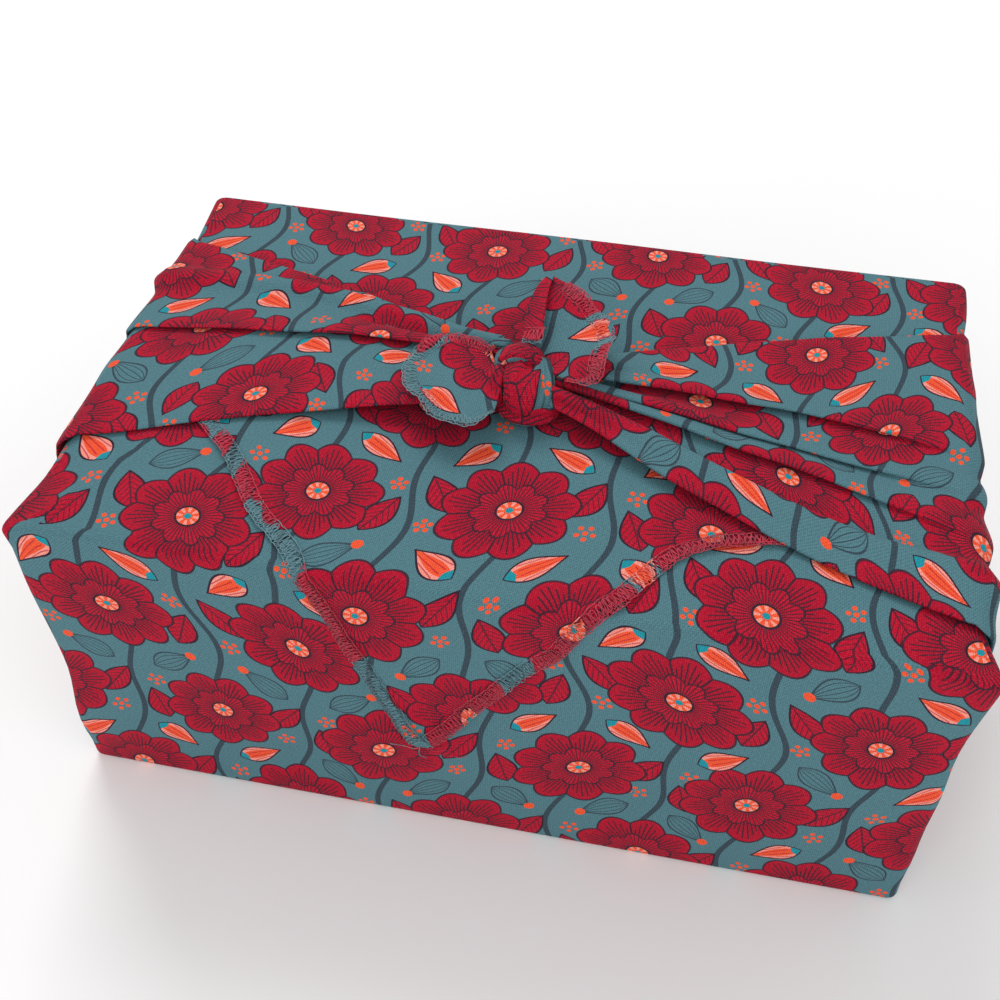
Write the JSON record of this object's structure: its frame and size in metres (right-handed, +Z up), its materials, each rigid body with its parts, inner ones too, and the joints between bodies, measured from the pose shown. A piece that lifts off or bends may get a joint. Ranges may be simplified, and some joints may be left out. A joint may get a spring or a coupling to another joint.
{
  "type": "furoshiki wrap",
  "caption": "Box-shaped bundle wrapped in one square of printed cloth, its end corners tied on top in a small square knot, a pointed flap down the front.",
  "frame": {"origin": "under the middle of the bundle, on the surface that it rests on", "axes": "+X to the right along the length, +Y to the back, away from the hanging flap, +Z up"},
  "size_m": [0.29, 0.1849, 0.148],
  "materials": {
    "printed_cotton": "matte"
  },
  "bodies": {
    "root": {"furoshiki_cloth": "printed_cotton"}
  },
  "joints": []
}
